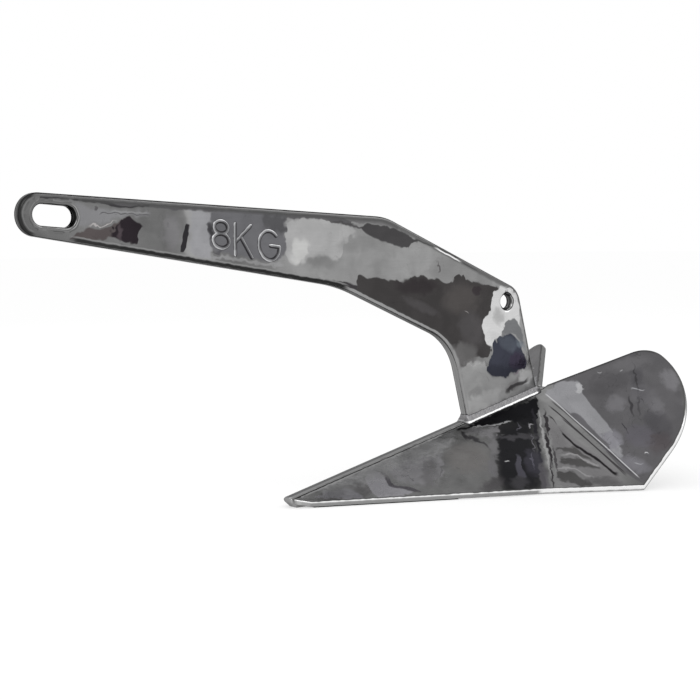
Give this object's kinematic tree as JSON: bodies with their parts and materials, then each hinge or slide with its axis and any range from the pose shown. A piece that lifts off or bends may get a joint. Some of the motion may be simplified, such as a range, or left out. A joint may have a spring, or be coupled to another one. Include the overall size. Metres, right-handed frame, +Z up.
{
  "type": "plough anchor",
  "caption": "Rigid plough anchor: bent flat shank with a shackle slot and trip-line hole, welded to a folded fluke with flared wings and a ballasted point.",
  "frame": {"origin": "on the ground below the middle of the anchor's length and width", "axes": "+X from the shackle end towards the wings, +Y to the anchor's starboard wing, +Z up from the ground"},
  "size_m": [0.6538, 0.2946, 0.273],
  "materials": {
    "polished_steel": "mirror-polished stainless steel plate and bar",
    "weld_metal": "ground and polished stainless fillet weld",
    "ballast_steel": "plain cut steel"
  },
  "bodies": {
    "root": {"shank": "polished_steel", "ridge_bar": "polished_steel", "fluke_plate_left": "polished_steel", "fluke_plate_right": "polished_steel", "shank_weld": "weld_metal", "tip_ballast": "ballast_steel", "ballast_cover": "polished_steel"}
  },
  "joints": []
}
